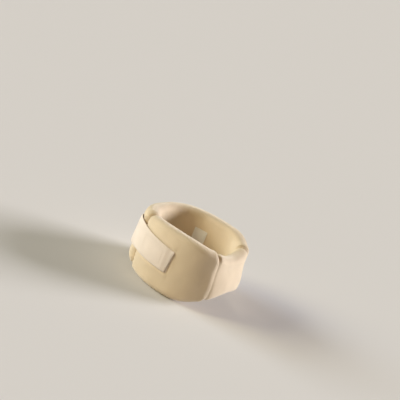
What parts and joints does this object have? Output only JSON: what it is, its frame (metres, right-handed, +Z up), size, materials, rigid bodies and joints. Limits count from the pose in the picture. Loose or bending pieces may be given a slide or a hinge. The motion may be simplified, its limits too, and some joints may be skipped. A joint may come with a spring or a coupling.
{
  "type": "cervical collar",
  "caption": "Soft foam neck collar: a contoured padded band in a knit sleeve, closed at the back by a wide hook-and-loop strap.",
  "frame": {"origin": "middle of the neck opening, on the plane that the band's bottom edge rests on", "axes": "+Z up the neck, -Y toward the wearer's front, -X toward the wearer's right"},
  "size_m": [0.1528, 0.1704, 0.099],
  "materials": {
    "knit": "soft knit stockinette",
    "foam": "open-cell foam",
    "webbing": "brushed flat tape",
    "hook_tape": "hook tape",
    "loop_tape": "napped loop tape",
    "thread": "sewing thread",
    "label": "smooth woven label"
  },
  "bodies": {
    "front_section": {"foam_front": "foam", "cover_front": "knit"},
    "right_wing": {"foam_right_wing": "foam", "cover_right_wing": "knit", "right_end_seam": "thread", "loop_patch": "loop_tape", "loop_patch_stitching": "thread"},
    "left_wing": {"foam_left_wing": "foam", "cover_left_wing": "knit", "left_end_seam": "thread", "strap_base": "webbing", "strap_base_stitching": "thread", "care_label": "label", "care_label_stitching": "thread"},
    "strap": {"strap_tail": "webbing", "hook_patch": "hook_tape", "hook_stitching": "thread"},
    "tip": {"strap_tip": "webbing", "strap_tip_stitching": "thread"}
  },
  "joints": [
    {"name": "strap_peel", "type": "hinge", "parent": "left_wing", "child": "strap", "pos_m": [-0.04545, 0.07619, 0.06], "axis": [0, 0, -1], "range_deg": [0, 120]},
    {"name": "tip_lift", "type": "hinge", "parent": "strap", "child": "tip", "pos_m": [-0.07847, -0.00162, 0.054], "axis": [0, 0, -1], "range_deg": [0, 75]},
    {"name": "left_wing_flex", "type": "hinge", "parent": "front_section", "child": "left_wing", "pos_m": [0.04599, -0.07452, 0.05], "axis": [0, 0, -1], "range_deg": [0, 30]},
    {"name": "right_wing_flex", "type": "hinge", "parent": "front_section", "child": "right_wing", "pos_m": [-0.04599, -0.07452, 0.05], "axis": [0, 0, 1], "range_deg": [0, 24]}
  ],
  "couplings": [
    {"joint": "left_wing_flex", "follows": "strap_peel", "ratio": 0.25},
    {"joint": "right_wing_flex", "follows": "strap_peel", "ratio": 0.2}
  ]
}
